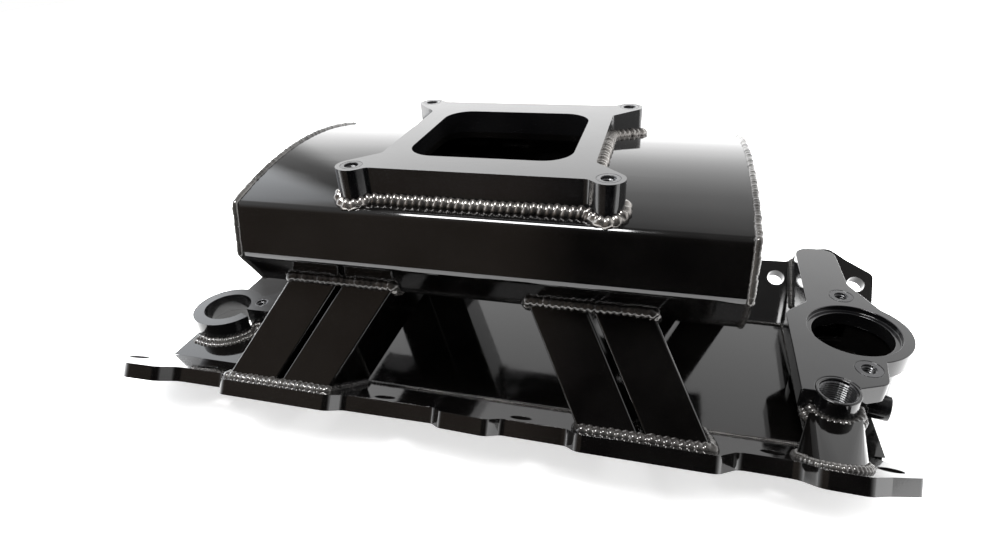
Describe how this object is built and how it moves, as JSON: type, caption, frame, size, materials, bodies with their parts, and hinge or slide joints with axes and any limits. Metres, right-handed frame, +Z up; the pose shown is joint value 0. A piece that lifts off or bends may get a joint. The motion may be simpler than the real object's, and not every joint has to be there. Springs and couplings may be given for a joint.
{
  "type": "intake manifold",
  "caption": "Welded sheet-metal intake manifold with an arched plenum, leaning rectangular runners, scalloped head flanges and a water crossover.",
  "frame": {"origin": "centre of the bounding box in plan, on the lowest plane, which is the underside of the end rails", "axes": "+X to the front (thermostat end) of the engine, +Y to the left bank, +Z up"},
  "size_m": [0.5208, 0.258, 0.172],
  "materials": {
    "gloss_black_coat": "gloss black coated aluminium",
    "machined_black": "satin black coated machined aluminium",
    "thread_insert": "satin steel"
  },
  "bodies": {
    "root": {"head_flange_right": "gloss_black_coat", "head_flange_left": "gloss_black_coat", "valley_plate": "gloss_black_coat", "front_end_rail": "gloss_black_coat", "rear_end_rail": "gloss_black_coat", "runner_1": "gloss_black_coat", "runner_2": "gloss_black_coat", "runner_3": "gloss_black_coat", "runner_4": "gloss_black_coat", "runner_5": "gloss_black_coat", "runner_6": "gloss_black_coat", "runner_7": "gloss_black_coat", "runner_8": "gloss_black_coat", "plenum_shell": "gloss_black_coat", "plenum_floor": "gloss_black_coat", "plenum_end_front": "gloss_black_coat", "plenum_end_rear": "gloss_black_coat", "carb_flange": "machined_black", "carb_thread_inserts": "thread_insert", "thermostat_flange": "machined_black", "thermostat_bowl": "gloss_black_coat", "crossover_duct_left": "gloss_black_coat", "crossover_duct_right": "gloss_black_coat", "water_leg_right": "gloss_black_coat", "water_leg_left": "gloss_black_coat", "thermostat_thread_inserts": "thread_insert", "sensor_boss": "machined_black", "heater_boss": "machined_black", "distributor_boss": "machined_black", "hold_down_thread_insert": "thread_insert"}
  },
  "joints": []
}
